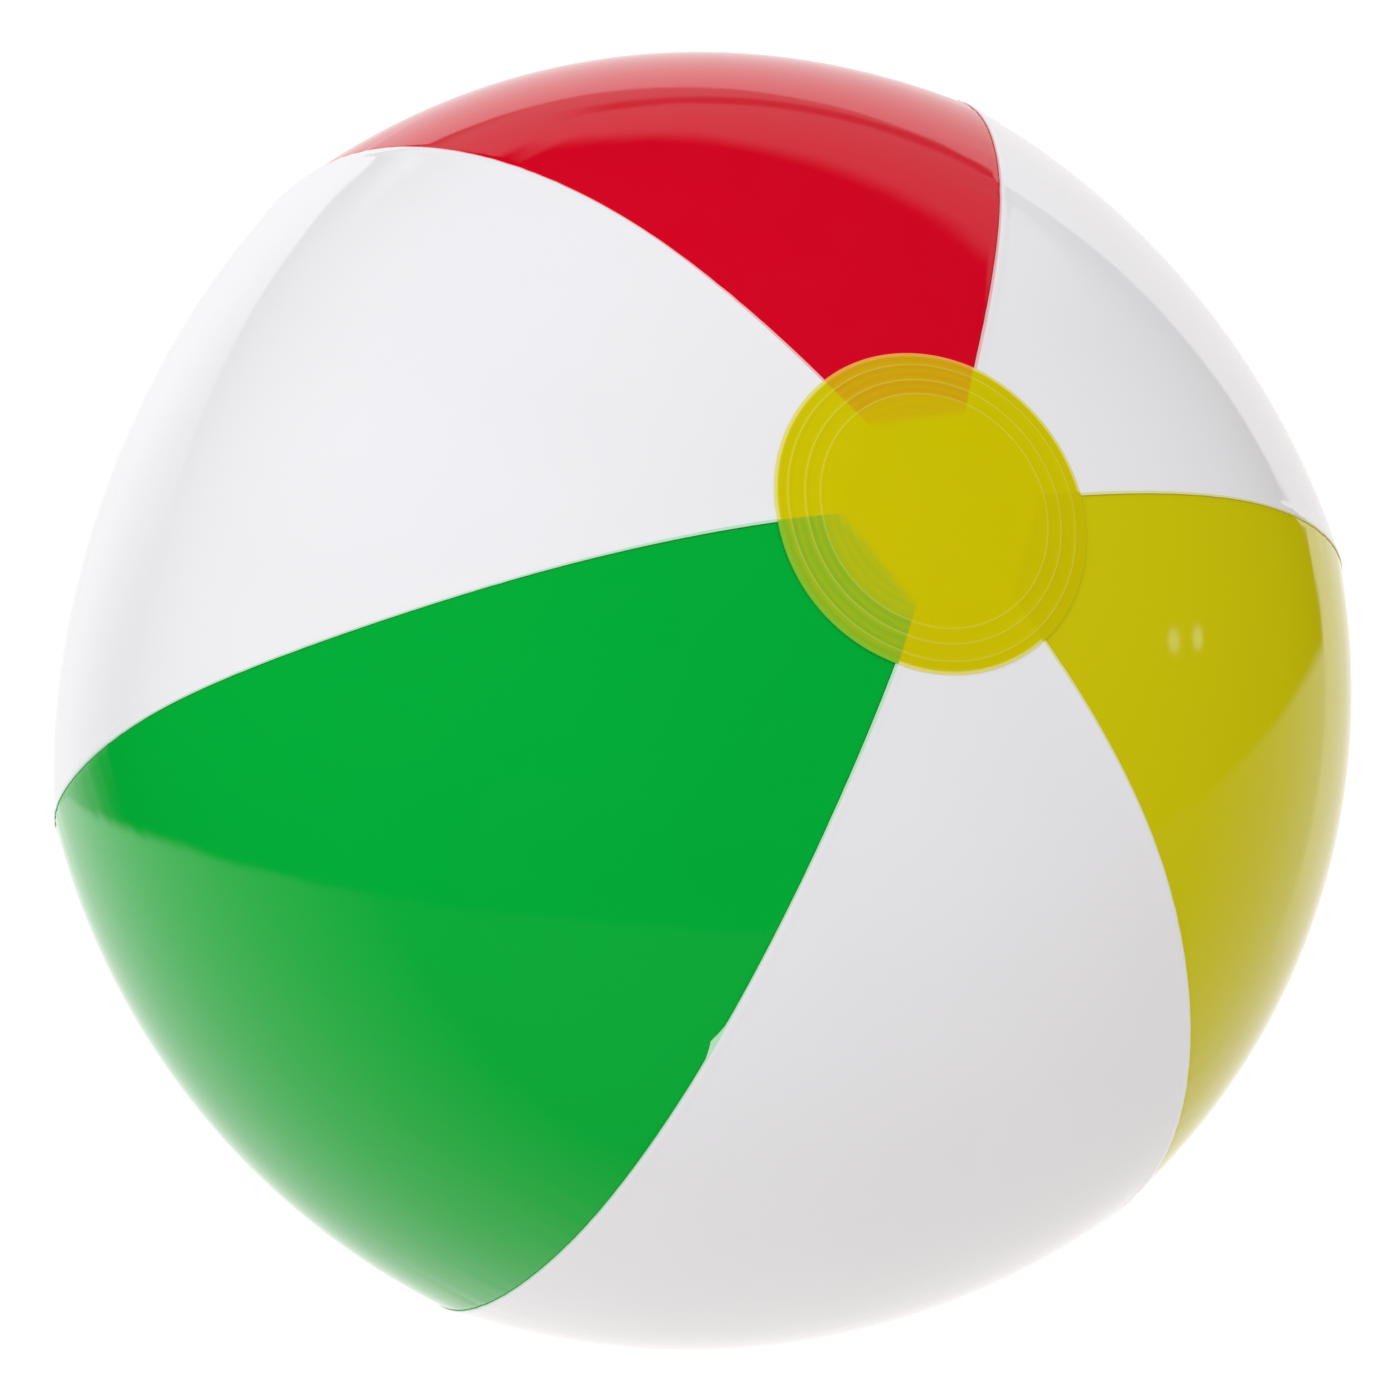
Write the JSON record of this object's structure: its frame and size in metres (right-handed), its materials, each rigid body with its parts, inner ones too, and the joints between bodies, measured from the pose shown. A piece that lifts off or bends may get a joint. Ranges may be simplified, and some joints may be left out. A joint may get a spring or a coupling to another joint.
{
  "type": "inflatable beach ball",
  "caption": "Inflatable vinyl beach ball: welded film panels, end discs over the poles and a push-in air valve with plug and check flap.",
  "frame": {"origin": "middle of the inflated ball", "axes": "+Z runs along the poles and out through the front end disc; the valve is near the -Z pole; the seam between the yellow panel and the valve's white panel lies over +X"},
  "size_m": [0.4006, 0.4003, 0.3632],
  "materials": {
    "film_white": "glossy, slightly translucent white vinyl film",
    "film_red": "glossy red vinyl film",
    "film_green": "glossy green vinyl film",
    "film_yellow": "glossy, translucent yellow vinyl film",
    "valve_vinyl": "soft moulded vinyl, satin",
    "flap_vinyl": "clear thin vinyl"
  },
  "bodies": {
    "ball": {"panel_white_1": "film_white", "panel_red": "film_red", "panel_white_2": "film_white", "panel_green": "film_green", "panel_white_3": "film_white", "panel_yellow": "film_yellow", "end_disc_front": "film_yellow", "end_disc_rear": "film_yellow", "valve_flange": "valve_vinyl", "valve_sleeve": "valve_vinyl"},
    "stem": {"valve_stem": "valve_vinyl", "strap_fold": "valve_vinyl"},
    "plug": {"valve_plug": "valve_vinyl"},
    "flap": {"check_flap": "flap_vinyl"}
  },
  "joints": [
    {"name": "valve_pop", "type": "slide", "parent": "ball", "child": "stem", "axis": [0.282, 0.1628, -0.9455], "range_m": [0, 0.014], "deforming": ["valve_sleeve"]},
    {"name": "plug_swing", "type": "hinge", "parent": "stem", "child": "plug", "pos_m": [0.0849, 0.04902, -0.16325], "axis": [0.5, -0.866, 0], "range_deg": [0, 150], "deforming": ["strap_fold"]},
    {"name": "flap_swing", "type": "hinge", "parent": "stem", "child": "flap", "pos_m": [0.07361, 0.0425, -0.15796], "axis": [-0.5, 0.866, 0], "range_deg": [0, 60], "stiffness_Nm_per_rad": 0.0001, "springref_deg": -5.73}
  ]
}
